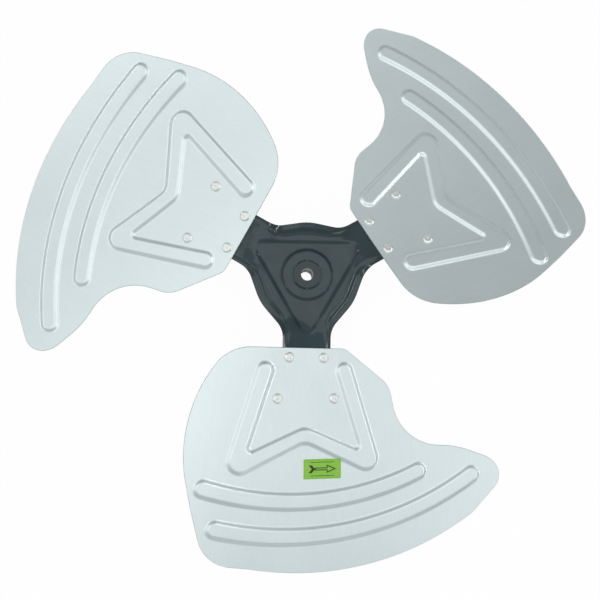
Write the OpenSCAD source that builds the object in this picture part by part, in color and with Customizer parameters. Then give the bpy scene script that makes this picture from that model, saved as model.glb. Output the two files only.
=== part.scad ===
// Condenser fan: three pressed aluminium blades riveted to a pressed steel spider,
// with a bored steel hub staked through the middle of the spider.
// The shaft is the Z axis, the face of the hub is Z = 0, and the hollow side of the blades
// faces up. Blade 1 points along -Y. "Out" is the distance from the shaft along the middle
// of a blade, and "across" is positive on its leading side.

/* [Fan] */
// Diameter that the blade tips sweep
fan_d = 609.6; // [590:0.1:640]
// Bore for the motor shaft
bore_d = 12.7; // [9.5:0.1:15.9]

/* [Blade sheet] */
// Thickness of the blade sheet
blade_t = 1.5; // [1:0.1:2]
// Radius that the sheet is rolled to
roll_r = 700; // [600:10:900]
// Pitch of the rolled sheet at the shaft line, in degrees
pitch = 18.2; // [15:0.1:21]
// Fall of the roll axis towards the tips, in degrees
droop = 2.7; // [1:0.1:4]
// Turn of the roll axis towards the leading edge, in degrees
skew = 7.8; // [4:0.1:11]
// Height of the rolled sheet over the hub face at the shaft line
sheet_lift = 8.6; // [7:0.1:10]

/* [Blade outline] */
// Distance from the shaft to the straight root edge
root_out = 75.5; // [73:0.5:78]
// Radius of the outer edge
edge_r = 276.5; // [270:0.5:290]
// Angle ahead of the blade's middle where the outer edge reaches the full diameter
edge_ahead = 26; // [20:1:32]
// Angle ahead of the blade's middle to which the tip is swept
tip_ahead = 46.4; // [44:0.1:48]
// Corner radius of the swept tip
tip_r = 19; // [15:0.5:20]

/* [Beads] */
// Width of a bead, measured half way up its walls
bead_w = 15.5; // [13:0.1:17]
// Height of a bead above the sheet
bead_h = 2.6; // [2:0.1:3.2]
// Width of a bead's sloping wall
bead_wall = 3.6; // [3:0.1:4.5]
// Distance from the shaft to the first long bead
bead_1_out = 230; // [226:1:234]
// Radius of the first long bead
bead_1_r = 280; // [260:5:300]
// Distance from the shaft to the second long bead
bead_2_out = 264.7; // [261:0.1:268]
// Radius of the second long bead
bead_2_r = 303; // [285:1:320]
// Distance from the shaft to the ends of the star bead
star_out = 98.7; // [96:0.1:102]
// Half the distance between the ends of the star bead
star_half = 41; // [40:0.5:44]

/* [Spider] */
// Thickness of the spider plate
spider_t = 2.4; // [1.9:0.1:3]
// Radius of the lobes between the arms
lobe_r = 55.2; // [53:0.1:58]
// Width of an arm
arm_w = 50; // [46:0.5:54]
// Width of an arm at its outer end
arm_end_w = 80; // [76:1:84]
// Distance from the shaft to the end of an arm
arm_out = 138; // [136:1:142]
// Depth of the pressed relief
relief = 3; // [2:0.1:4]
// Radius of the raised face round the hub
face_r = 23.5; // [21:0.5:25]
// Gap between the spider's arm and the sheet that lies on it
seat_gap = 0.15; // [0.1:0.05:0.4]

/* [Hub] */
// Diameter of the hub's neck, which passes through the spider
neck_d = 28.4; // [26:0.1:31]
// Diameter of the hub's barrel
barrel_d = 34.9; // [33:0.1:38]
// Length of the hub's barrel under the spider
barrel_h = 25.4; // [22:0.1:28]
// Radial gap between the neck and its hole
neck_gap = 0.05; // [0.02:0.01:0.2]
// Diameter of a set screw
screw_d = 7.94; // [6:0.01:9]
// Width across the square head of a set screw
screw_head = 7.94; // [7:0.01:10]
// Length of a set screw's square head
screw_head_h = 6.5; // [5:0.5:8]

/* [Rivets] */
// Diameter of a rivet's shank
rivet_d = 6.3; // [5:0.1:7]
// Diameter of a rivet's head
rivet_head_d = 10.5; // [9:0.1:12]
// Height of a rivet's head
rivet_head_h = 2; // [1.5:0.1:2.5]
// Radial gap between a shank and its hole
rivet_gap = 0.05; // [0.02:0.01:0.2]
// Distance from the shaft to the inner pair of rivets
rivet_in_out = 85.4; // [84.5:0.1:88]
// Distance between the inner pair of rivets
rivet_in_w = 35.8; // [34:0.1:38]
// Distance from the shaft to the outer pair of rivets
rivet_far_out = 126.7; // [124:0.1:129]
// Distance between the outer pair of rivets
rivet_far_w = 58.6; // [56:0.1:60]

/* [Label] */
// Length of the rotation label
label_w = 39; // [36:0.5:40]
// Width of the rotation label
label_h = 20; // [16:0.5:20]
// Thickness of the rotation label
label_t = 0.15; // [0.1:0.05:0.3]
// Distance from the shaft to the middle of the label
label_out = 198; // [197:0.5:200]
// Distance from the blade's middle to the middle of the label
label_across = 17.5; // [14:0.5:20]

/* [Hidden] */
$fn = 96;

fan_r = fan_d / 2;
bore_r = bore_d / 2;

// Turn of blade 1, 2 and 3 about the shaft
blade_turn = [0, -120, 120];

// Points and paths. A corner is [across, out, radius]; a path is a list of corners.
function xy(p) = [p[0], p[1]];
function unit(v) = v / norm(v);
function left_of(v) = [-v[1], v[0]];
function polar(out, ahead) = [out * sin(ahead), -out * cos(ahead)];
function corner(p, r) = [p[0], p[1], r];
function mix(a, b, f) = a * (1 - f) + b * f;
function ease(f) = let (c = max(0, min(1, f))) c * c * (3 - 2 * c);

// Points along the rounding of corner p, between the corners a and b, in n steps
function rounding(a, p, b, n) =
    let (
        u = unit(xy(a) - xy(p)),
        v = unit(xy(b) - xy(p)),
        half = acos(max(-1, min(1, u * v))) / 2,
        middle = xy(p) + unit(u + v) * (p[2] / sin(half)),
        from = xy(p) + u * (p[2] / tan(half)) - middle,
        turn = 180 - 2 * half,
        way = u[0] * v[1] - u[1] * v[0] > 0 ? -1 : 1
    )
    [for (i = [0:n]) let (t = way * turn * i / n)
        middle + [from[0] * cos(t) - from[1] * sin(t), from[0] * sin(t) + from[1] * cos(t)]];

// A closed path of rounded corners, as points
function closed_outline(path, n) =
    let (m = len(path))
    [for (i = [0:m - 1]) each path[i][2] == 0
        ? [xy(path[i])]
        : rounding(path[(i + m - 1) % m], path[i], path[(i + 1) % m], n)];

// The rolled sheet: a cylinder of radius r whose axis has the pitch, droop and skew
module rolled(r, turn = 0) {
    rotate([0, 0, turn])
        translate([0, 0, sheet_lift])
            rotate([0, 0, -skew])
                rotate([droop, 0, 0])
                    rotate([0, pitch, 0])
                        translate([0, 0, roll_r])
                            rotate([90, 0, 0])
                                cylinder(r = r, h = 2 * fan_d, center = true, $fn = 360);
}
function about_z(p, a) = [p[0] * cos(a) - p[1] * sin(a), p[0] * sin(a) + p[1] * cos(a), p[2]];
function about_x(p, a) = [p[0], p[1] * cos(a) - p[2] * sin(a), p[1] * sin(a) + p[2] * cos(a)];
function about_y(p, a) = [p[0] * cos(a) + p[2] * sin(a), p[1], p[2] * cos(a) - p[0] * sin(a)];
function roll_pose(p) = about_z(about_x(about_y(p, pitch), droop), -skew);
axis_way = roll_pose([0, 1, 0]);
axis_at = roll_pose([0, 0, roll_r]) + [0, 0, sheet_lift];

// Height of the rolled sheet over the point [across, out], at radius r from the roll axis
function sheet_z(x, y, r) =
    let (
        d = axis_way,
        vx = x - axis_at[0],
        vy = y - axis_at[1],
        along = vx * d[0] + vy * d[1],
        a = 1 - d[2] * d[2],
        b = -2 * along * d[2],
        c = vx * vx + vy * vy - along * along - r * r
    )
    axis_at[2] - (b + sqrt(b * b - 4 * a * c)) / (2 * a);
function on_sheet(p, rise) = [p[0], p[1], sheet_z(p[0], p[1], roll_r - rise)];
// Direction square to the sheet at a point on it
function sheet_up(p) =
    let (v = axis_at - p, along = v * axis_way) unit(v - along * axis_way);

// Outline of a blade. The inner corners keep their distance from the root edge, and the
// outer ones follow the fan's diameter.
edge_middle = polar(fan_r - edge_r, edge_ahead);
tip = corner(polar(fan_r - 7, tip_ahead), tip_r);
tail = corner(polar(fan_r - 2.5, -19.2), 39);
function edge_angle(p) = let (v = xy(p) - edge_middle) atan2(v[0], -v[1]);
edge_steps = 16;
edge_from = edge_angle(tip) - 11;
edge_to = edge_angle(tail) + 9;
blade_path = concat(
    [
        [40.5, -root_out, 13],
        [88.5, -(root_out + 37.5), 28],
        corner(polar(fan_r - 102.5, 30.1), 52),
        corner(polar(fan_r - 66.5, 42.6), 106),
        corner(polar(fan_r - 32, tip_ahead), 26),
        tip
    ],
    [for (i = [0:edge_steps])
        corner(edge_middle + polar(edge_r, mix(edge_from, edge_to, i / edge_steps)), 0)],
    [
        tail,
        corner(polar(fan_r - 48, -25.9), 150),
        [-128, -(root_out + 70), 146],
        [-78, -root_out, 44]
    ]
);

// A bead is a list of stations, each with a point on its left and its right wall.
// Profile of a bead as [inset from the middle of the wall, height]
slope = bead_h / bead_wall;
thin = blade_t * tan(atan(slope) / 2);
under = -blade_t - 1;
bead_outside = [
    [-bead_wall / 2 - blade_t / 2 / slope, -blade_t / 2],
    [bead_wall * 0.3, bead_h * 0.8],
    [bead_wall * 0.6, bead_h],
];
bead_inside = [
    [-bead_wall / 2 + thin + (under + blade_t) / slope, under],
    [bead_wall / 2 + thin, bead_h - blade_t],
];

// Stations of a half-round bead end, from its tip to its full width
cap_steps = 4;
function cap(middle, way, half) =
    [for (i = [0:cap_steps - 1]) let (t = max(4, 90 * i / cap_steps))
        [for (s = [1, -1]) middle + way * (half * cos(t)) + left_of(way) * (s * half * sin(t))]];
function reversed(list) = [for (i = [len(list) - 1:-1:0]) list[i]];
function swapped(list) = [for (s = list) [s[1], s[0]]];

// Long bead: an arc of radius r whose middle line is at out, from one angle to another
function long_bead(out, r, from, to, inset) =
    let (
        middle = [-2, r - out],
        half = bead_w / 2 - inset,
        steps = ceil((to - from) / 3),
        arm = function (t, rr) middle + polar(rr, t),
        start = cap(arm(from, r), polar(1, from - 90), half),
        end = cap(arm(to, r), polar(1, to + 90), half)
    )
    concat(
        swapped(start),
        [for (i = [0:steps]) let (t = mix(from, to, i / steps)) [arm(t, r - half), arm(t, r + half)]],
        reversed(end)
    );

// Star bead: two legs and a bent cross piece. Its walls are paths of corners moved by the inset.
star_axis = -1.1;
star_heel = [84.2, -210.2, 12];
star_crotch = [60, -181.9, 4];
star_peak = [0, -155.7, 16];
star_arch = [0, -170.1, 16];
// A corner moved to its left by d; side is 1 where the path turns right and -1 where it turns left
function moved_corner(a, p, b, d, side) =
    let (
        u = unit(xy(p) - xy(a)),
        v = unit(xy(b) - xy(p)),
        shift = (left_of(u) + left_of(v)) / (1 + u * v)
    )
    corner(xy(p) + shift * d, p[2] + side * d);
leg_way = unit([star_crotch[0] - star_half, star_crotch[1] + star_out]);
leg_side = [-leg_way[1], leg_way[0]];
leg_top = [star_half, -star_out];

// Right half of a wall: from the leg's end round the corner to the middle
function star_wall(outer, inset) =
    let (
        s = outer ? 1 : -1,
        top = leg_top + leg_side * (s * bead_w / 2),
        turn = outer ? star_heel : star_crotch,
        middle = outer ? star_arch : star_peak,
        far = [-turn[0], turn[1]],
        d = -s * inset,
        t1 = moved_corner(corner(top, 0), turn, middle, d, 1),
        m1 = moved_corner(turn, middle, far, d, -1),
        first = top - leg_side * (s * inset),
        bend = rounding(corner(first, 0), t1, m1, 5),
        peak = rounding(t1, m1, corner([-t1[0], t1[1]], 0), 4)
    )
    concat(
        [for (i = [0:3]) mix(first, bend[0], i / 4)],
        bend,
        [for (i = [1:3]) mix(bend[5], peak[0], i / 4)],
        [for (i = [0:2]) peak[i]]
    );
function star_bead(inset) =
    let (
        outer = star_wall(true, inset),
        inner = star_wall(false, inset),
        right = concat(
            swapped(cap(leg_top, -leg_way, bead_w / 2 - inset)),
            [for (i = [0:len(outer) - 1]) [outer[i], inner[i]]]
        ),
        left = [for (i = [len(right) - 2:-1:0])
            [for (p = right[i]) [-p[0], p[1]]]]
    )
    [for (s = concat(right, left)) [for (p = s) p + [star_axis, 0]]];

// Solid of a bead: rings[k] holds the stations at the inset and height of profile[k]
module bead_solid(rings, profile) {
    levels = len(profile);
    stations = len(rings[0]);
    wide = 2 * levels;
    points = [for (i = [0:stations - 1]) each concat(
        [for (k = [0:levels - 1]) on_sheet(rings[k][i][0], profile[k][1])],
        [for (k = [levels - 1:-1:0]) on_sheet(rings[k][i][1], profile[k][1])]
    )];
    walls = [for (i = [0:stations - 2]) for (k = [0:wide - 1])
        let (a = i * wide + k, b = i * wide + (k + 1) % wide)
        each [[a, b + wide, b], [a, a + wide, b + wide]]];
    last = (stations - 1) * wide;
    polyhedron(points, concat(
        walls,
        [[for (k = [0:wide - 1]) k]],
        [[for (k = [wide - 1:-1:0]) last + k]]
    ));
}
module beads(profile) {
    bead_solid([for (p = profile) long_bead(bead_1_out, bead_1_r, -20.6, 25.8, p[0])], profile);
    bead_solid([for (p = profile) long_bead(bead_2_out, bead_2_r, -16.7, 36.3, p[0])], profile);
    bead_solid([for (p = profile) star_bead(p[0])], profile);
}

// Rivets sit square to the sheet; letters a and b are the inner pair, c and d the outer one
rivet_at = [
    [-rivet_in_w / 2, -rivet_in_out],
    [rivet_in_w / 2, -rivet_in_out],
    [-rivet_far_w / 2, -rivet_far_out],
    [rivet_far_w / 2, -rivet_far_out],
];
module at_rivet(i, turn = 0) {
    p = on_sheet(rivet_at[i], 0);
    up = sheet_up(p);
    rotate([0, 0, turn])
        translate(p)
            rotate([0, acos(up[2]), atan2(up[1], up[0])])
                children();
}
module rivet_holes() {
    for (i = [0:3])
        at_rivet(i)
            cylinder(r = rivet_d / 2 + rivet_gap, h = 40, center = true);
}

module blade(i) {
    color("#c9d0d4")
        rotate([0, 0, blade_turn[i]])
            difference() {
                union() {
                    intersection() {
                        difference() {
                            rolled(roll_r + blade_t);
                            rolled(roll_r);
                        }
                        translate([0, 0, -80])
                            linear_extrude(height = 160)
                                polygon(closed_outline(blade_path, 6));
                    }
                    beads(bead_outside);
                }
                beads(bead_inside);
                rivet_holes();
            }
}

// Spider: rings of points from the hub's hole to the outline, each with its relief
flare_out = root_out + 1.5;
third = 120;
function arm_corners(half, shoulder, end_half, end_out, rounds) = [
    [half, -shoulder, rounds[0]],
    [half, -flare_out, rounds[1]],
    [end_half, -end_out, rounds[2]],
];
lobe_spread = 10.9;
function lobe_corner(r, ahead) = corner(polar(r / cos(lobe_spread), ahead), r);
neck_steps = 3;
lobe_steps = 4;
tip_steps = 3;
arm_steps = 3;
end_steps = 5;

// One third of a ring, from lobe to lobe, from the corners of half an arm
function between(a, b, steps) = [for (i = [1:steps - 1]) mix(a, b, i / steps)];
function ring_third(lobe, half) =
    let (
        other = [for (i = [len(half) - 1:-1:0]) [-half[i][0], half[i][1], half[i][2]]],
        path = concat(
            [corner(polar(norm(xy(lobe)), 60), lobe[2])],
            half,
            other,
            [corner(polar(norm(xy(lobe)), -60), lobe[2])]
        ),
        before = concat(about_z([half[0][0] * -1, half[0][1], 0], 120), []),
        lobe_points = rounding(corner(before, 0), path[0], path[1], 2 * lobe_steps),
        flare_1 = rounding(path[1], path[2], path[3], 1),
        end_1 = rounding(path[2], path[3], path[4], tip_steps),
        end_2 = rounding(path[3], path[4], path[5], tip_steps),
        flare_2 = rounding(path[4], path[5], path[6], 1)
    )
    concat(
        [for (i = [lobe_steps:2 * lobe_steps]) lobe_points[i]],
        rounding(path[0], path[1], path[2], neck_steps),
        flare_1,
        between(flare_1[1], end_1[0], arm_steps),
        end_1,
        between(end_1[tip_steps], end_2[0], end_steps),
        end_2,
        between(end_2[tip_steps], flare_2[0], arm_steps),
        flare_2,
        rounding(path[5], path[6], path[7], neck_steps),
        [for (p = reversed([for (i = [lobe_steps + 1:2 * lobe_steps]) lobe_points[i]])) [-p[0], p[1]]]
    );
function outline_third() = ring_third(
    lobe_corner(lobe_r, 60),
    arm_corners(arm_w / 2, lobe_r + 0.8, arm_end_w / 2, arm_out, [26, 15, 8])
);
function foot_third() = ring_third(
    lobe_corner(lobe_r - 5.2, 60),
    arm_corners(arm_w / 2 - 2, lobe_r - 4, arm_end_w / 2 - 3, arm_out - 3, [26, 15, 6])
);
function crest_third() = ring_third(
    lobe_corner(lobe_r - 11.5, 60),
    arm_corners(arm_w / 2 - 5, lobe_r - 10.5, arm_end_w / 2 - 6, arm_out - 6, [26, 15, 5])
);

// The recess round the hub is a triangle with its corners in the arms. Its points pair up
// with those of the rings outside it.
function recess_third(side, round) =
    let (
        top = polar(side, 60),
        corner_at = [0, -2 * side, round],
        bend = rounding([top[0], top[1], 0], corner_at, [-top[0], top[1], 0],
            2 * tip_steps + end_steps),
        run = lobe_steps + neck_steps + arm_steps + 2,
        right = [for (i = [0:run]) mix(top, bend[0], i / (run + 1))]
    )
    concat(right, bend, [for (p = reversed([for (i = [1:run]) right[i]])) [-p[0], p[1]]]);
function circle_third(r, guide) = [for (p = guide) unit(p) * r];

recess_side = 31.5;
recess_foot = recess_third(recess_side, 5);
recess_crest = recess_third(recess_side + 5, 8);
outer_crest = crest_third();
arm_rings = 4;
hole_r = neck_d / 2 + neck_gap;
// Each entry is [points of one third, relief height]
spider_rings = concat(
    [
        [circle_third(hole_r - 4, recess_foot), 0],
        [circle_third(face_r, recess_foot), 0],
        [circle_third(face_r + 4.5, recess_foot), -relief + 0.4],
        [recess_foot, -relief + 0.4],
    ],
    [for (i = [0:arm_rings]) let (f = i / arm_rings)
        [[for (k = [0:len(recess_crest) - 1]) mix(recess_crest[k], outer_crest[k], f)],
            i == 0 || i == arm_rings ? 0.2 : 0.6]],
    [
        [foot_third(), -relief],
        [outline_third(), -relief - 0.3],
    ]
);

// Top of the spider: flat at the hub, twisted along the arms to lie under the blades
twist_from = 43;
twist_to = root_out - 9.5;
fade_from = 50;
function spider_top(p, rise) =
    let (
        out = -p[1],
        seat = sheet_z(p[0], p[1], roll_r + blade_t + seat_gap),
        bent = ease((out - twist_from) / (twist_to - twist_from)),
        level = rise * (1 - ease((out - fade_from) / (twist_to - fade_from)))
    )
    [p[0], p[1], mix(0, seat, bent) + level];
module pressed_plate(rings, t) {
    per = len(rings[0][0]);
    around = 3 * per;
    count = len(rings);
    top = [for (r = rings) each [for (turn = [0, -120, 120]) each
        [for (p = r[0]) about_z(spider_top(p, r[1]), turn)]]];
    bottom = [for (p = top) p - [0, 0, t]];
    low = len(top);
    function at(r, i) = r * around + i % around;
    skin = [for (r = [0:count - 2]) for (i = [0:around - 1])
        each [[at(r, i), at(r + 1, i + 1), at(r, i + 1)], [at(r, i), at(r + 1, i), at(r + 1, i + 1)]]];
    rims = [for (r = [0, count - 1]) for (i = [0:around - 1])
        let (a = at(r, i), b = at(r, i + 1))
        each r == 0
            ? [[a, low + b, low + a], [a, b, low + b]]
            : [[a, low + b, b], [a, low + a, low + b]]];
    polyhedron(concat(top, bottom), concat(
        skin,
        [for (f = skin) [low + f[2], low + f[1], low + f[0]]],
        rims
    ));
}
module spider() {
    color("#2b3236")
        difference() {
            pressed_plate(spider_rings, spider_t);
            cylinder(r = hole_r, h = 40, center = true);
            for (turn = blade_turn)
                rotate([0, 0, turn])
                    rivet_holes();
        }
}

// Hub: a barrel under the spider and a neck through it, staked over at six places
stake_rise = 0.35;
screw_at = -spider_t - barrel_h * 0.55;
screw_turn = [30, 120];
module hub() {
    neck_r = neck_d / 2;
    barrel_r = barrel_d / 2;
    color("#3a4044")
        difference() {
            union() {
                rotate_extrude()
                    polygon([
                        [0, stake_rise],
                        [neck_r - 0.6, stake_rise],
                        [neck_r, 0],
                        [neck_r, -spider_t - neck_gap],
                        [barrel_r, -spider_t - neck_gap],
                        [barrel_r, -spider_t - barrel_h + 1],
                        [barrel_r - 1, -spider_t - barrel_h],
                        [0, -spider_t - barrel_h],
                    ]);
                for (a = [0:60:300])
                    rotate([0, 0, a + 30])
                        translate([neck_r - 1.5, -1.1, neck_gap])
                            cube([3.3, 2.2, stake_rise]);
            }
            translate([0, 0, -50])
                cylinder(r = bore_r, h = 60);
            for (turn = screw_turn)
                rotate([0, 0, turn])
                    translate([0, 0, screw_at])
                        rotate([0, 90, 0])
                            cylinder(r = screw_d / 2 + neck_gap, h = 40);
        }
}
module set_screw(turn) {
    color("#6f7578")
        rotate([0, 0, turn])
            translate([0, 0, screw_at])
                rotate([0, 90, 0])
                    union() {
                        translate([0, 0, bore_r + 0.3])
                            cylinder(r = screw_d / 2, h = barrel_d / 2 - bore_r + 2);
                        translate([-screw_head / 2, -screw_head / 2, barrel_d / 2 + 1.5])
                            cube([screw_head, screw_head, screw_head_h]);
                    }
}

// Rivet: a domed and dimpled head on the sheet, a shank, and a closed head under the arm
module rivet(i, turn) {
    head_r = rivet_head_d / 2;
    grip = blade_t + seat_gap + spider_t;
    tail_r = head_r - 0.8;
    color("#b9bec0")
        at_rivet(i, turn)
            rotate_extrude()
                polygon([
                    [0, rivet_head_h - 0.5],
                    [0.9, rivet_head_h - 0.5],
                    [1.3, rivet_head_h],
                    [head_r * 0.66, rivet_head_h],
                    [head_r * 0.9, rivet_head_h * 0.66],
                    [head_r, 0.5],
                    [head_r, neck_gap],
                    [rivet_d / 2, neck_gap],
                    [rivet_d / 2, -grip - 0.25],
                    [tail_r, -grip - 0.25],
                    [tail_r, -grip - 0.8],
                    [tail_r * 0.7, -grip - 1.8],
                    [0, -grip - 1.8],
                ]);
}

// Label: a thin sticker on blade 1, trimmed where it meets the star bead
module rotation_label() {
    lift = 0.03;
    color("#8cc63f")
        difference() {
            intersection() {
                difference() {
                    rolled(roll_r - lift);
                    rolled(roll_r - lift - label_t);
                }
                translate([label_across - label_w / 2, -label_out - label_h / 2, -80])
                    cube([label_w, label_h, 160]);
            }
            bead_solid([for (p = label_cut) star_bead(p[0])], label_cut);
        }
}
label_cut = [for (p = bead_outside) [p[0] - 0.4, p[1] + (p[1] > 0 ? 0.5 : -0.5)]];

blade(0);  // blade_1
blade(1);  // blade_2
blade(2);  // blade_3
spider();
hub();
set_screw(screw_turn[0]);  // set_screw_1
set_screw(screw_turn[1]);  // set_screw_2
rivet(0, blade_turn[0]);  // rivet_1a
rivet(1, blade_turn[0]);  // rivet_1b
rivet(2, blade_turn[0]);  // rivet_1c
rivet(3, blade_turn[0]);  // rivet_1d
rivet(0, blade_turn[1]);  // rivet_2a
rivet(1, blade_turn[1]);  // rivet_2b
rivet(2, blade_turn[1]);  // rivet_2c
rivet(3, blade_turn[1]);  // rivet_2d
rivet(0, blade_turn[2]);  // rivet_3a
rivet(1, blade_turn[2]);  // rivet_3b
rivet(2, blade_turn[2]);  // rivet_3c
rivet(3, blade_turn[2]);  // rivet_3d
rotation_label();
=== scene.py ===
"""Looks of a condenser fan: pressed aluminium blades on an enamelled steel spider.

Sizes are in millimetres, as in the part's source, and become metres when a mesh is made.
Blade 1 points along -Y. "Out" is the distance from the shaft along the middle of a blade,
and "across" is positive on its leading side.
"""

import math

import bpy
import numpy as np
from mathutils import Matrix, Vector
from mathutils.geometry import delaunay_2d_cdt


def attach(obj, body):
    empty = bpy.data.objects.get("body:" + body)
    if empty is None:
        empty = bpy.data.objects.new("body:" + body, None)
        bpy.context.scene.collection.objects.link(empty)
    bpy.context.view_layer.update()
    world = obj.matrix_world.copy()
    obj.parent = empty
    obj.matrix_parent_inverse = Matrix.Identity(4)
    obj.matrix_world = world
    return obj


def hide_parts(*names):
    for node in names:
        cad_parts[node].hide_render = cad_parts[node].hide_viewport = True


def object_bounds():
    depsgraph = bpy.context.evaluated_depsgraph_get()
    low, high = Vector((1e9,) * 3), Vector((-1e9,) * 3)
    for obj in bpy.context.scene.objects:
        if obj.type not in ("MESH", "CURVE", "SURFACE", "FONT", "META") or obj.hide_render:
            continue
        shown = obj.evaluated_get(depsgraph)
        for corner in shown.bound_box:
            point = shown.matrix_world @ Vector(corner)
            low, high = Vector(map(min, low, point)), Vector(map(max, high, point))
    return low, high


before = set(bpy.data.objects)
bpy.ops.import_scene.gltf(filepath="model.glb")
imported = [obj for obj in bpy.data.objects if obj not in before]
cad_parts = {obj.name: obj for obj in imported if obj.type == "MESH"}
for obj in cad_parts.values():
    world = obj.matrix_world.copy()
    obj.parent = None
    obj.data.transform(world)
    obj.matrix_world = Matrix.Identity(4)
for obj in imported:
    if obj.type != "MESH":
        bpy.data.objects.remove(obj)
cad_low, cad_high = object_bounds()
MM = 0.001

# ---- sizes, as in the part's source ----
FAN_R = 609.6 / 2
BLADE_T = 1.5
ROLL_R, PITCH, DROOP, SKEW, SHEET_LIFT = 700, 18.2, 2.7, 7.8, 8.6
ROOT_OUT = 75.5
EDGE_R, EDGE_AHEAD, TIP_AHEAD, TIP_R = 276.5, 26, 46.4, 19
BEAD_W, BEAD_H = 15.5, 2.6
LONG_BEADS = ((230, 280, -20.6, 25.8), (264.7, 303, -16.7, 36.3))
STAR_OUT, STAR_HALF, STAR_AXIS = 98.7, 41, -1.1
LOBE_R, ARM_W, ARM_END_W, ARM_OUT = 55.2, 50, 80, 138
RELIEF, FACE_R, SPIDER_T, SEAT_GAP = 3, 23.5, 2.4, 0.15
HOLE_R = 28.4 / 2 + 0.05
LABEL_W, LABEL_H, LABEL_OUT, LABEL_ACROSS, LABEL_LIFT = 39, 20, 198, 17.5, 0.18
BLADE_TURNS = (0, -120, 120)
WALL_HALF = 2.5  # half the width of a bead's rounded wall, seen from above


# ---- the rolled sheet ----
POSE = np.array(
    Matrix.Rotation(math.radians(-SKEW), 3, "Z")
    @ Matrix.Rotation(math.radians(DROOP), 3, "X")
    @ Matrix.Rotation(math.radians(PITCH), 3, "Y")
)
AXIS_WAY = POSE @ (0, 1, 0)
AXIS_AT = POSE @ (0, 0, ROLL_R) + (0, 0, SHEET_LIFT)


def sheet_z(x, y, radius):
    """Height of the rolled sheet over (x, y), at that radius from the roll axis."""
    vx, vy = x - AXIS_AT[0], y - AXIS_AT[1]
    along = vx * AXIS_WAY[0] + vy * AXIS_WAY[1]
    a = 1 - AXIS_WAY[2] ** 2
    b = -2 * along * AXIS_WAY[2]
    c = vx**2 + vy**2 - along**2 - radius**2
    return AXIS_AT[2] - (b + np.sqrt(b * b - 4 * a * c)) / (2 * a)


def ease(f):
    f = np.clip(f, 0, 1)
    return f * f * (3 - 2 * f)


# ---- plane geometry ----
def polar(out, ahead):
    t = math.radians(ahead)
    return np.array((out * math.sin(t), -out * math.cos(t)))


def corner(p, r):
    return (p[0], p[1], r)


def unit(v):
    return v / np.linalg.norm(v)


def left_of(v):
    return np.array((-v[1], v[0]))


def rounding(a, p, b, steps):
    """Points along the rounding of corner p, between the corners a and b."""
    at = np.array(p[:2], float)
    u, v = unit(np.array(a[:2]) - at), unit(np.array(b[:2]) - at)
    half = math.acos(max(-1, min(1, u @ v))) / 2
    middle = at + unit(u + v) * (p[2] / math.sin(half))
    start = at + u * (p[2] / math.tan(half)) - middle
    way = -1 if u[0] * v[1] - u[1] * v[0] > 0 else 1
    turns = way * (math.pi - 2 * half) * np.arange(steps + 1) / steps
    return np.array(
        [
            middle
            + (
                start[0] * math.cos(t) - start[1] * math.sin(t),
                start[0] * math.sin(t) + start[1] * math.cos(t),
            )
            for t in turns
        ]
    )


def line(a, b, steps):
    """Points from a to just before b."""
    f = np.arange(steps)[:, None] / steps
    return np.asarray(a) * (1 - f) + np.asarray(b) * f


def closed_outline(path, step):
    """A closed path of rounded corners as points no further apart than step."""
    turns = []
    for i, p in enumerate(path):
        if p[2] == 0:
            turns.append(np.array([p[:2]], float))
        else:
            n = max(6, round(p[2] * 1.2 / step))
            turns.append(rounding(path[i - 1], p, path[(i + 1) % len(path)], n))
    points = []
    for i, turn in enumerate(turns):
        after = turns[(i + 1) % len(turns)][0]
        gap = np.linalg.norm(after - turn[-1])
        points += [turn[:-1], line(turn[-1], after, max(1, math.ceil(gap / step)))]
    return np.vstack(points)


def normals_of(loop):
    """Directions to the left of a closed loop of points."""
    way = np.roll(loop, -1, 0) - np.roll(loop, 1, 0)
    way /= np.linalg.norm(way, axis=1)[:, None]
    return np.c_[-way[:, 1], way[:, 0]]


def inside(points, loop):
    """Which points lie inside a closed loop."""
    hit = np.zeros(len(points), bool)
    for a, b in zip(loop, np.roll(loop, -1, 0)):
        if a[1] == b[1]:
            continue
        cross = (points[:, 1] < a[1]) != (points[:, 1] < b[1])
        x = a[0] + (points[:, 1] - a[1]) / (b[1] - a[1]) * (b[0] - a[0])
        hit ^= cross & (points[:, 0] < x)
    return hit


def nearest(points, others):
    """Distance from each point to the nearest of the others."""
    out = np.empty(len(points))
    for i in range(0, len(points), 500):
        d = points[i : i + 500, None] - others[None]
        out[i : i + 500] = np.sqrt((d**2).sum(2)).min(1)
    return out


# ---- outline and beads of a blade ----
def blade_outline(step):
    middle = polar(FAN_R - EDGE_R, EDGE_AHEAD)
    tip = corner(polar(FAN_R - 7, TIP_AHEAD), TIP_R)
    tail = corner(polar(FAN_R - 2.5, -19.2), 39)

    def angle(p):
        return math.degrees(math.atan2(p[0] - middle[0], middle[1] - p[1]))

    edge = [
        corner(middle + polar(EDGE_R, t), 0)
        for t in np.linspace(angle(tip) - 11, angle(tail) + 9, 70)
    ]
    return closed_outline(
        [
            (40.5, -ROOT_OUT, 13),
            (88.5, -(ROOT_OUT + 37.5), 28),
            corner(polar(FAN_R - 102.5, 30.1), 52),
            corner(polar(FAN_R - 66.5, 42.6), 106),
            corner(polar(FAN_R - 32, TIP_AHEAD), 26),
            tip,
            *edge,
            tail,
            corner(polar(FAN_R - 48, -25.9), 150),
            (-128, -(ROOT_OUT + 70), 146),
            (-78, -ROOT_OUT, 44),
        ],
        step,
    )


def long_bead(out, r, start, end, inset):
    middle = np.array((-2, r - out))
    half = BEAD_W / 2 - inset
    run = np.linspace(start, end, 100)
    inner = [middle + polar(r - half, t) for t in run]
    outer = [middle + polar(r + half, t) for t in run[::-1]]
    cap = np.linspace(180, 0, 17)[1:-1]
    far = [middle + polar(r, end) + polar(half, end + t) for t in cap]
    near = [middle + polar(r, start) + polar(half, start + t - 180) for t in cap]
    return np.array(inner + far + outer + near)


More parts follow.
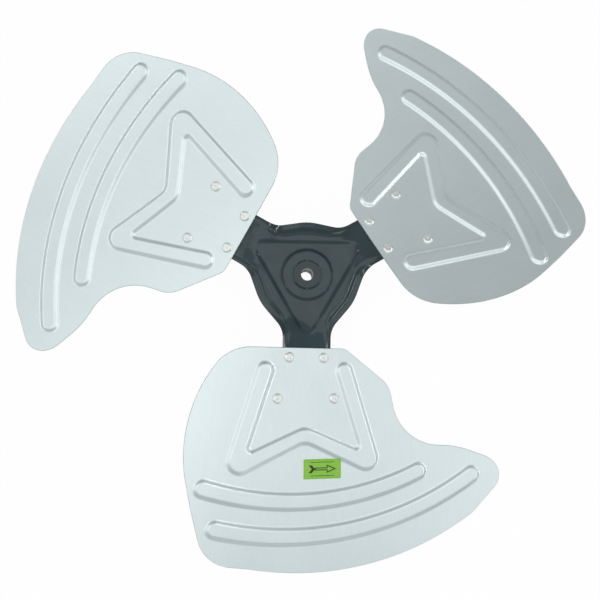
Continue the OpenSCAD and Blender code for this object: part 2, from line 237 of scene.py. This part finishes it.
def moved_corner(a, p, b, d, sign):
    u = unit(np.array(p[:2]) - np.array(a[:2]))
    v = unit(np.array(b[:2]) - np.array(p[:2]))
    shift = (left_of(u) + left_of(v)) / (1 + u @ v)
    return corner(np.array(p[:2]) + shift * d, p[2] + sign * d)


HEEL, CROTCH = (84.2, -210.2, 12), (60, -181.9, 4)
PEAK, ARCH = (0, -155.7, 16), (0, -170.1, 16)
LEG_TOP = np.array((STAR_HALF, -STAR_OUT))
LEG_WAY = unit(np.array(CROTCH[:2]) - LEG_TOP)
LEG_SIDE = left_of(LEG_WAY)


def star_wall(side, turn, middle, inset):
    """Right half of a wall of the star bead, from the leg's end to the middle."""
    first = LEG_TOP + LEG_SIDE * side * (BEAD_W / 2 - inset)
    top = LEG_TOP + LEG_SIDE * side * BEAD_W / 2
    d = -side * inset
    bend_at = moved_corner(top, turn, middle, d, 1)
    peak_at = moved_corner(turn, middle, (-turn[0], turn[1]), d, -1)
    bend = rounding(first, bend_at, peak_at, 14)
    peak = rounding(bend_at, peak_at, (-bend_at[0], bend_at[1]), 16)[:9]
    return np.vstack([line(first, bend[0], 40), bend[:-1], line(bend[-1], peak[0], 34), peak])


def star_bead(inset):
    outer = star_wall(1, HEEL, ARCH, inset)
    inner = star_wall(-1, CROTCH, PEAK, inset)
    half = BEAD_W / 2 - inset
    cap = [
        LEG_TOP + half * (-LEG_WAY * math.sin(t) - LEG_SIDE * math.cos(t))
        for t in np.linspace(0, math.pi, 15)[1:-1]
    ]
    right = np.vstack([inner[::-1], cap, outer])
    left = (right * (-1, 1))[::-1][1:-1]
    return np.vstack([right, left]) + (STAR_AXIS, 0)


def bead_loops(inset):
    return [long_bead(*b, inset) for b in LONG_BEADS] + [star_bead(inset)]


def bead_height(points):
    """Height of the beads over the sheet at any points."""
    height = np.zeros(len(points))
    for loop in bead_loops(0):
        dense = np.vstack([line(a, b, 4) for a, b in zip(loop, np.roll(loop, -1, 0))])
        gap = nearest(points, dense) * np.where(inside(points, loop), 1, -1)
        height = np.maximum(height, BEAD_H * ease((gap + WALL_HALF) / (2 * WALL_HALF)))
    return height


def on_sheet(points, rise):
    z = sheet_z(points[:, 0], points[:, 1], ROLL_R - rise)
    return np.c_[points, z]


# ---- meshes ----
def make_piece(name, points, faces, turn=0, smooth=True):
    """An object from points in millimetres, turned about the shaft, that rides on the part."""
    mesh = bpy.data.meshes.new(name)
    mesh.from_pydata((np.asarray(points) * MM).tolist(), [], faces)
    mesh.validate()
    mesh.update()
    if smooth:
        mesh.shade_smooth()
    piece = bpy.data.objects.new(name, mesh)
    bpy.context.scene.collection.objects.link(piece)
    piece.rotation_euler = (0, 0, math.radians(turn))
    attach(piece, "root")
    return piece


def strip(a, b, count):
    """Faces between two closed rings of points whose first indices are a and b."""
    return [(a + i, a + (i + 1) % count, b + (i + 1) % count, b + i) for i in range(count)]


def triangulated(loops, loose, outline, keep=0.0):
    """Triangles of the area inside the outline, with every loop's edges kept."""
    points, edges = [], []
    for loop in [outline, *loops]:
        at = len(points)
        points += loop.tolist()
        edges += [(at + i, at + (i + 1) % len(loop)) for i in range(len(loop))]
    points += loose.tolist()
    flat = [Vector(p) for p in points]
    verts, _, faces, source, _, _ = delaunay_2d_cdt(flat, edges, [], 0, 1e-6, True)
    at = np.array([tuple(v) for v in verts])
    faces = np.array(faces)
    faces = faces[inside(at[faces].mean(1), outline)]
    return at, faces, [s[0] if s else -1 for s in source]


def blade_mesh():
    """Points and faces of a blade: the pressed sheet, both skins and its rounded rim."""
    edge = blade_outline(3.0)
    inward = normals_of(edge)
    probe = inside(edge[:1] + inward[:1] * 0.5, edge)[0]
    inward = inward if probe else -inward
    trim = 0.35
    outline = edge + inward * trim
    insets = np.linspace(-WALL_HALF, WALL_HALF, 9)
    # Loops close to the rim and to the beads keep their rounding out of the flat sheet
    loops = [edge + inward * (trim + d) for d in (0.25, 0.9)]
    rises = [np.zeros(len(outline)) for _ in range(3)]
    for inset in (-WALL_HALF - 0.5, WALL_HALF + 0.5):
        for loop in bead_loops(inset):
            loops.append(loop)
            rises.append(np.full(len(loop), BEAD_H if inset > 0 else 0.0))
    for inset in insets:
        for loop in bead_loops(inset):
            loops.append(loop)
            rises.append(np.full(len(loop), BEAD_H * ease((inset / WALL_HALF + 1) / 2)))
    pitch = 7.0
    gx, gy = np.meshgrid(np.arange(-130, 225, pitch), np.arange(-310, -70, pitch * 0.866))
    gx[::2] += pitch / 2
    grid = np.c_[gx.ravel(), gy.ravel()]
    grid = grid[inside(grid, outline)]
    walls = np.vstack([outline, *loops])
    grid = grid[nearest(grid, walls) > 3]
    rises.append(bead_height(grid))
    rise = np.concatenate(rises)
    at, faces, source = triangulated(loops, grid, outline)
    h = np.array([rise[s] if s >= 0 else 0.0 for s in source])
    count = len(at)
    top = on_sheet(at, h)
    low = on_sheet(at, h - BLADE_T)
    ring = [source.index(i) for i in range(len(outline))]
    skirt, faces_out = [], [tuple(f) for f in faces] + [tuple(f[::-1] + count) for f in faces]
    depths = ((trim * 0.3, trim * 0.3), (0, trim), (0, BLADE_T - trim), (trim * 0.3, BLADE_T - trim * 0.3))
    for inset, depth in depths:
        skirt.append(on_sheet(edge + inward * inset, -depth))
    rings = [ring] + [
        list(range(2 * count + k * len(edge), 2 * count + (k + 1) * len(edge))) for k in range(4)
    ]
    rings.append([i + count for i in ring])
    for a, b in zip(rings, rings[1:]):
        for i in range(len(edge)):
            j = (i + 1) % len(edge)
            quad = (a[i], b[i], b[j], a[j])
            faces_out.append(quad if not probe else quad[::-1])
    return np.vstack([top, low, *skirt]), faces_out


# ---- spider ----
ROOT_TURN = ROOT_OUT + 1.5
TWIST_FROM, TWIST_TO, FADE_FROM = 43, ROOT_OUT - 9.5, 50
NECK, LOBE, TIP, ARM, END, FLARE = 12, 16, 5, 10, 14, 3


def arm_corners(half, shoulder, end_half, end_out, rounds):
    return [
        (half, -shoulder, rounds[0]),
        (half, -ROOT_TURN, rounds[1]),
        (end_half, -end_out, rounds[2]),
    ]


def lobe_corner(r, ahead):
    return corner(polar(r / math.cos(math.radians(10.9)), ahead), r)


def ring_third(lobe, half):
    other = [(-p[0], p[1], p[2]) for p in half[::-1]]
    reach = math.hypot(lobe[0], lobe[1])
    path = [corner(polar(reach, 60), lobe[2]), *half, *other, corner(polar(reach, -60), lobe[2])]
    turned = Matrix.Rotation(math.radians(120), 2) @ Vector((-half[0][0], half[0][1]))
    lobe_points = rounding(tuple(turned), path[0], path[1], 2 * LOBE)
    bends = [
        rounding(path[i - 1], path[i], path[i + 1], n)
        for i, n in ((1, NECK), (2, FLARE), (3, TIP), (4, TIP), (5, FLARE), (6, NECK))
    ]
    out = [lobe_points[LOBE:], bends[0], bends[1]]
    out += [line(bends[1][-1], bends[2][0], ARM)[1:], bends[2]]
    out += [line(bends[2][-1], bends[3][0], END)[1:], bends[3]]
    out += [line(bends[3][-1], bends[4][0], ARM)[1:], bends[4], bends[5]]
    out.append((lobe_points[LOBE + 1 :] * (-1, 1))[::-1])
    return np.vstack(out)


def recess_third(side, round_r, guide_count):
    """A third of a rounded triangle, whose points pair up with those of a ring."""
    top = polar(side, 60)
    run = LOBE + NECK + FLARE + ARM + 1
    bend_steps = guide_count - 1 - (run + 1) - run
    bend = rounding(top, (0, -2 * side, round_r), top * (-1, 1), bend_steps)
    right = line(top, bend[0], run + 1)
    return np.vstack([right, bend, (right[1:] * (-1, 1))[::-1]])


def spider_rings():
    """Rings of points from the hole to the outline, each with its height in the relief."""
    outline = ring_third(
        lobe_corner(LOBE_R, 60),
        arm_corners(ARM_W / 2, LOBE_R + 0.8, ARM_END_W / 2, ARM_OUT, (26, 15, 8)),
    )
    foot = ring_third(
        lobe_corner(LOBE_R - 5.2, 60),
        arm_corners(ARM_W / 2 - 2, LOBE_R - 4, ARM_END_W / 2 - 3, ARM_OUT - 3, (26, 15, 6)),
    )
    crest = ring_third(
        lobe_corner(LOBE_R - 11.5, 60),
        arm_corners(ARM_W / 2 - 5, LOBE_R - 10.5, ARM_END_W / 2 - 6, ARM_OUT - 6, (26, 15, 5)),
    )
    low = recess_third(31.5, 5, len(outline))
    high = recess_third(36.5, 8, len(outline))
    away = low / np.linalg.norm(low, axis=1)[:, None]
    keys = [
        (away * HOLE_R, 0, 1),
        (away * FACE_R, 0, 4),
        (away * (FACE_R + 4.5), -RELIEF + 0.4, 8),
        (low, -RELIEF + 0.4, 4),
        (high, 0.2, 8),
        (high * 0.5 + crest * 0.5, 0.6, 8),
        (crest, 0.2, 8),
        (foot, -RELIEF, 9),
        (outline, -RELIEF - 0.3, 4),
    ]
    rings = [(keys[0][0], 0.0)]
    for (a, ha, _), (b, hb, steps) in zip(keys, keys[1:]):
        for k in range(1, steps + 1):
            f = k / steps
            rings.append((a * (1 - f) + b * f, ha + (hb - ha) * float(ease(f))))
    return rings


def spider_mesh():
    rings = spider_rings()
    # The last ring is drawn in a little and dropped, so that the pressed edge is rounded
    tops = []
    for points, rise in rings:
        out = -points[:, 1]
        seat = sheet_z(points[:, 0], points[:, 1], ROLL_R + BLADE_T + SEAT_GAP)
        bent = ease((out - TWIST_FROM) / (TWIST_TO - TWIST_FROM))
        level = rise * (1 - ease((out - FADE_FROM) / (TWIST_TO - FADE_FROM)))
        third = np.c_[points, seat * bent + level]
        whole = []
        for turn in BLADE_TURNS:
            m = np.array(Matrix.Rotation(math.radians(turn), 3, "Z"))
            whole.append(third @ m.T)
        tops.append(np.vstack(whole))
    around = len(tops[0])
    rim = tops[-1].copy()
    shell = [*tops[:-1]]
    inward = tops[-2] - rim
    inward /= np.linalg.norm(inward, axis=1)[:, None]
    edge_round = 0.45
    shell.append(rim + inward * edge_round)
    shell.append(rim + inward * edge_round * 0.3 - (0, 0, edge_round * 0.3))
    shell.append(rim - (0, 0, edge_round))
    shell.append(rim - (0, 0, SPIDER_T - edge_round))
    shell.append(rim + inward * edge_round - (0, 0, SPIDER_T))
    shell += [t - (0, 0, SPIDER_T) for t in tops[-2::-1]]
    shell.append(tops[0])
    points = np.vstack(shell[:-1])
    faces = []
    count = len(shell) - 1
    for k in range(count):
        faces += strip(k * around, ((k + 1) % count) * around, around)
    return points, [f[::-1] for f in faces]


# ---- materials ----
def linear(code, alpha=1.0):
    """A hex sRGB colour as linear values."""
    parts = [int(code[i : i + 2], 16) / 255 for i in (1, 3, 5)]
    return (*[c / 12.92 if c <= 0.04045 else ((c + 0.055) / 1.055) ** 2.4 for c in parts], alpha)


def add(tree, kind, inputs=None, **settings):
    """A node with its settings; an input is a value or another node's output socket."""
    node = tree.nodes.new(kind)
    for key, value in settings.items():
        setattr(node, key, value)
    for key, value in (inputs or {}).items():
        if isinstance(value, bpy.types.NodeSocket):
            tree.links.new(value, node.inputs[key])
        else:
            node.inputs[key].default_value = value
    return node


def new_material(name):
    mat = bpy.data.materials.new(name)
    mat.use_nodes = True
    mat.node_tree.nodes.clear()
    tree = mat.node_tree
    return mat, tree, add(tree, "ShaderNodeTexCoord").outputs["Object"]


def surfaced(tree, inputs):
    shader = add(tree, "ShaderNodeBsdfPrincipled", inputs)
    add(tree, "ShaderNodeOutputMaterial", {"Surface": shader.outputs[0]})


def ramp_value(tree, fac, low, high):
    """fac, from 0.3 to 0.7, becomes a value from low to high."""
    return add(
        tree,
        "ShaderNodeMapRange",
        {"Value": fac, "From Min": 0.3, "From Max": 0.7, "To Min": low, "To Max": high},
    ).outputs[0]


def mixed(tree, fac, one, two):
    mix = add(tree, "ShaderNodeMix", {"Factor": fac}, data_type="RGBA")
    mix.inputs[6].default_value, mix.inputs[7].default_value = one, two
    return mix.outputs[2]


def aluminium_sheet():
    # Cold-rolled strip: a satin grey with faint streaks along the strip, a fine speckle
    # left by the rolls and, a few centimetres apart, slight clouds from oil and handling.
    mat, tree, at = new_material("satin aluminium sheet")
    speck = add(tree, "ShaderNodeTexNoise", {"Vector": at, "Scale": 900.0, "Detail": 3.0})
    clouds = add(tree, "ShaderNodeTexNoise", {"Vector": at, "Scale": 22.0, "Detail": 3.0})
    stretch = add(tree, "ShaderNodeMapping", {"Vector": at, "Scale": (900.0, 14.0, 900.0)})
    streak = add(
        tree, "ShaderNodeTexNoise", {"Vector": stretch.outputs[0], "Scale": 1.0, "Detail": 2.0}
    )
    tone = add(
        tree, "ShaderNodeMath", {0: speck.outputs[0], 1: streak.outputs[0]}, operation="ADD"
    )
    tone = add(tree, "ShaderNodeMath", {0: tone.outputs[0], 1: 0.5}, operation="MULTIPLY")
    colour = mixed(
        tree, ramp_value(tree, tone.outputs[0], 0.0, 1.0), linear("#D8E3E4"), linear("#E0EAEB")
    )
    rough = ramp_value(tree, clouds.outputs[0], 0.38, 0.44)
    bump = add(
        tree,
        "ShaderNodeBump",
        {"Height": tone.outputs[0], "Strength": 0.12, "Distance": 0.00006},
    )
    surfaced(
        tree,
        {"Base Color": colour, "Metallic": 1.0, "Roughness": rough, "Normal": bump.outputs[0]},
    )
    return mat


def enamel(name, dark, pale, rough_low, rough_high):
    # Dipped black enamel on pressed steel: near black with a slate sheen, and a gentle
    # orange peel a few millimetres across that bends the highlights.
    mat, tree, at = new_material(name)
    peel = add(tree, "ShaderNodeTexNoise", {"Vector": at, "Scale": 260.0, "Detail": 2.0})
    wave = add(tree, "ShaderNodeTexNoise", {"Vector": at, "Scale": 60.0, "Detail": 2.0})
    colour = mixed(
        tree, ramp_value(tree, wave.outputs[0], 0.0, 1.0), linear(dark), linear(pale)
    )
    rough = ramp_value(tree, wave.outputs[0], rough_low, rough_high)
    fine = add(tree, "ShaderNodeBump", {"Height": peel.outputs[0], "Strength": 0.3, "Distance": 0.0001})
    both = add(
        tree,
        "ShaderNodeBump",
        {
            "Height": wave.outputs[0],
            "Strength": 0.3,
            "Distance": 0.0006,
            "Normal": fine.outputs[0],
        },
    )
    surfaced(
        tree,
        {"Base Color": colour, "Roughness": rough, "Normal": both.outputs[0], "IOR": 1.5},
    )
    return mat


def bright_metal(name, dark, pale, rough_low, rough_high, scale):
    # Cold-headed or turned metal: a brighter skin with small scuffs from the tool.
    mat, tree, at = new_material(name)
    scuff = add(tree, "ShaderNodeTexNoise", {"Vector": at, "Scale": scale, "Detail": 4.0})
    fac = ramp_value(tree, scuff.outputs[0], 0.0, 1.0)
    rough = ramp_value(tree, scuff.outputs[0], rough_low, rough_high)
    bump = add(tree, "ShaderNodeBump", {"Height": scuff.outputs[0], "Strength": 0.3, "Distance": 0.0001})
    surfaced(
        tree,
        {
            "Base Color": mixed(tree, fac, linear(dark), linear(pale)),
            "Metallic": 1.0,
            "Roughness": rough,
            "Normal": bump.outputs[0],
        },
    )
    return mat


def printed_film(name, dark, pale):
    # Vinyl film: even colour with a soft sheen and the slight mottle of its adhesive.
    mat, tree, at = new_material(name)
    mottle = add(tree, "ShaderNodeTexNoise", {"Vector": at, "Scale": 500.0, "Detail": 2.0})
    fac = ramp_value(tree, mottle.outputs[0], 0.0, 1.0)
    bump = add(tree, "ShaderNodeBump", {"Height": mottle.outputs[0], "Strength": 0.2, "Distance": 0.00003})
    surfaced(
        tree,
        {
            "Base Color": mixed(tree, fac, linear(dark), linear(pale)),
            "Roughness": ramp_value(tree, mottle.outputs[0], 0.42, 0.52),
            "Normal": bump.outputs[0],
        },
    )
    return mat


SHEET = aluminium_sheet()
SPIDER_ENAMEL = enamel("gloss black enamel on pressed steel", "#1F3034", "#25393D", 0.07, 0.12)
HUB_ENAMEL = enamel("black enamel on turned steel", "#222D31", "#2A373C", 0.32, 0.42)
RIVET_METAL = bright_metal("cold-headed aluminium", "#DCE1DE", "#F1F3F1", 0.32, 0.45, 700.0)
SCREW_STEEL = bright_metal("black oxide on steel", "#26282A", "#3A3D3F", 0.38, 0.5, 500.0)
LABEL_FILM = printed_film("lime vinyl film", "#7FB934", "#8BC63F")
LABEL_INK = printed_film("black print on vinyl film", "#15200C", "#1E2B12")


def finish_with(obj, mat):
    obj.data.materials.clear()
    obj.data.materials.append(mat)


# ---- the pieces ----
blade_points, blade_faces = blade_mesh()
for i, turn in enumerate(BLADE_TURNS, 1):
    blade = make_piece(f"blade_{i}_pressed_sheet", blade_points, blade_faces, turn)
    finish_with(blade, SHEET)
    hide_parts(f"blade_{i}")

spider = make_piece("spider_pressing", *spider_mesh())
finish_with(spider, SPIDER_ENAMEL)
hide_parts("spider")


def label_piece():
    """The rotation label, with a plain arrow that shows which way the fan turns."""
    x0, x1 = LABEL_ACROSS - LABEL_W / 2, LABEL_ACROSS + LABEL_W / 2
    y0, y1 = -LABEL_OUT - LABEL_H / 2, -LABEL_OUT + LABEL_H / 2
    frame_line = closed_outline([(x0, y0, 0.8), (x1, y0, 0.8), (x1, y1, 0.8), (x0, y1, 0.8)], 1.0)
    shift = np.array((x0, (y0 + y1) / 2))

    def drawn(points):
        loop = np.array(points, float) + shift
        return np.vstack([line(a, b, 4) for a, b in zip(loop, np.roll(loop, -1, 0))])

    body = drawn(
        [(11.5, 1.5), (24, 1.5), (24, 4.3), (34, 0), (24, -4.3), (24, -1.5), (11.5, -1.5)]
    )
    hollow = drawn(
        [(12.7, 0.5), (25, 0.5), (25, 2.7), (31.3, 0), (25, -2.7), (25, -0.5), (12.7, -0.5)]
    )
    tail = drawn([(5, 4), (8.4, 4), (12, 0), (8.4, -4), (5, -4), (8.4, 0)])
    bars = [drawn([(7, s * 6.6), (32, s * 6.6), (32, s * 7.2), (7, s * 7.2)]) for s in (1, -1)]
    gx, gy = np.meshgrid(np.arange(x0 + 1.5, x1 - 1, 1.5), np.arange(y0 + 1.5, y1 - 1, 1.5))
    grid = np.c_[gx.ravel(), gy.ravel()]
    shapes = [body, hollow, tail, *bars]
    grid = grid[nearest(grid, np.vstack([frame_line, *shapes])) > 0.8]
    at, faces, source = triangulated(shapes, grid, frame_line)
    rise = bead_height(at) + LABEL_LIFT
    ring = [source.index(i) for i in range(len(frame_line))]
    under = on_sheet(at[ring], rise[ring] - LABEL_LIFT + 0.03)
    points = np.vstack([on_sheet(at, rise), under])
    skirt = [
        (ring[i], len(at) + i, len(at) + (i + 1) % len(ring), ring[(i + 1) % len(ring)])
        for i in range(len(ring))
    ]
    middles = at[faces].mean(1)
    inked = inside(middles, body) & ~inside(middles, hollow) | inside(middles, tail)
    for bar in bars:
        inked |= inside(middles, bar)
    piece = make_piece("rotation_label_film", points, [tuple(f) for f in faces] + skirt)
    finish_with(piece, LABEL_FILM)
    piece.data.materials.append(LABEL_INK)
    for face, ink in zip(piece.data.polygons, inked):
        face.material_index = int(ink)
    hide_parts("rotation_label")
    return piece


label_piece()

for name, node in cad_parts.items():
    if name.startswith("rivet"):
        finish_with(node, RIVET_METAL)
    elif name.startswith("set_screw"):
        finish_with(node, SCREW_STEEL)
    elif name == "hub":
        finish_with(node, HUB_ENAMEL)

# ---- camera, where the photograph was taken from ----
camera = bpy.data.objects.new("camera", bpy.data.cameras.new("camera"))
bpy.context.scene.collection.objects.link(camera)
camera.data.lens = 44.36
camera.data.sensor_width = 36
turn = Vector((6.24, -3.71, 0.56))
camera.matrix_world = Matrix.Translation(Vector((-55.8, -109.1, 751.4)) * MM) @ Matrix.Rotation(
    math.radians(turn.length), 4, turn.normalized()
)
camera.data.clip_start, camera.data.clip_end = 0.05, 50
bpy.context.scene.camera = camera

# ---- floor, world and lamps ----
floor_z = cad_low.z - 0.0004
bpy.ops.mesh.primitive_plane_add(size=14, location=(0, 0, floor_z))
floor = bpy.context.object
floor.name = "floor"
mat = bpy.data.materials.new("white paper floor")
mat.use_nodes = True
tree = mat.node_tree
tree.nodes.clear()
paper = add(tree, "ShaderNodeBsdfDiffuse", {"Color": linear("#ECEDED")})
glow = add(tree, "ShaderNodeEmission", {"Color": linear("#FFFFFF"), "Strength": 1.0})
# The white is what the eye, metal and glass see; the paper under it keeps the shadow
seen = add(tree, "ShaderNodeLightPath").outputs
shown = add(
    tree, "ShaderNodeMath", {0: seen["Is Camera Ray"], 1: seen["Is Glossy Ray"]}, operation="MAXIMUM"
)
shown = add(
    tree, "ShaderNodeMath", {0: shown.outputs[0], 1: seen["Is Transmission Ray"]}, operation="MAXIMUM"
)
share = add(tree, "ShaderNodeMath", {0: shown.outputs[0], 1: 0.97}, operation="MULTIPLY")
both = add(
    tree, "ShaderNodeMixShader", {0: share.outputs[0], 1: paper.outputs[0], 2: glow.outputs[0]}
)
add(tree, "ShaderNodeOutputMaterial", {"Surface": both.outputs[0]})
floor.data.materials.append(mat)

world = bpy.data.worlds.new("studio")
bpy.context.scene.world = world
world.use_nodes = True
tree = world.node_tree
tree.nodes.clear()
ray = add(tree, "ShaderNodeLightPath")
# A light tent: brightest overhead, a little to the lower left, and dimmest towards +Y
way = add(tree, "ShaderNodeTexCoord").outputs["Generated"]
aside = add(tree, "ShaderNodeVectorMath", {0: way, 1: (0.12, 0.12, 0)}, operation="ADD")
aside = add(
    tree, "ShaderNodeVectorMath", {0: aside.outputs[0], 1: (0.6, 0.56, 0)}, operation="MULTIPLY"
)
fall = add(
    tree, "ShaderNodeVectorMath", {0: aside.outputs[0], 1: aside.outputs[0]}, operation="DOT_PRODUCT"
)
level = add(
    tree,
    "ShaderNodeMath",
    {0: 0.78, 1: fall.outputs["Value"]},
    operation="SUBTRACT",
    use_clamp=True,
)
fill = add(
    tree, "ShaderNodeBackground", {"Color": linear("#FAFCFD"), "Strength": level.outputs[0]}
)
white = add(tree, "ShaderNodeBackground", {"Color": linear("#FFFFFF"), "Strength": 1.0})
sky = add(
    tree,
    "ShaderNodeMixShader",
    {0: ray.outputs["Is Camera Ray"], 1: fill.outputs[0], 2: white.outputs[0]},
)
add(tree, "ShaderNodeOutputWorld", {"Surface": sky.outputs[0]})


def softbox(name, place, width, height, radiance):
    """An evenly bright panel, in W per square metre and steradian, that faces the fan."""
    data = bpy.data.lights.new(name, "AREA")
    data.shape, data.size, data.size_y = "RECTANGLE", width, height
    data.energy = radiance * math.pi * width * height
    lamp = bpy.data.objects.new(name, data)
    bpy.context.scene.collection.objects.link(lamp)
    lamp.location = place
    lamp.rotation_euler = (-Vector(place)).to_track_quat("-Z", "Y").to_euler()
    return lamp


# A broad panel close above the hub makes the blades dimmer towards their tips, and two
# thin low strips draw the bright lines along the folds of the enamelled spider.
softbox("overhead", (0.0, -0.1, 0.95), 1.05, 1.05, 0.62)
softbox("left_strip", (-2.6, 0.1, 1.7), 3.6, 0.1, 13)
softbox("right_strip", (2.6, -0.1, 1.5), 3.6, 0.1, 20)

bpy.context.scene.view_settings.view_transform = "Standard"
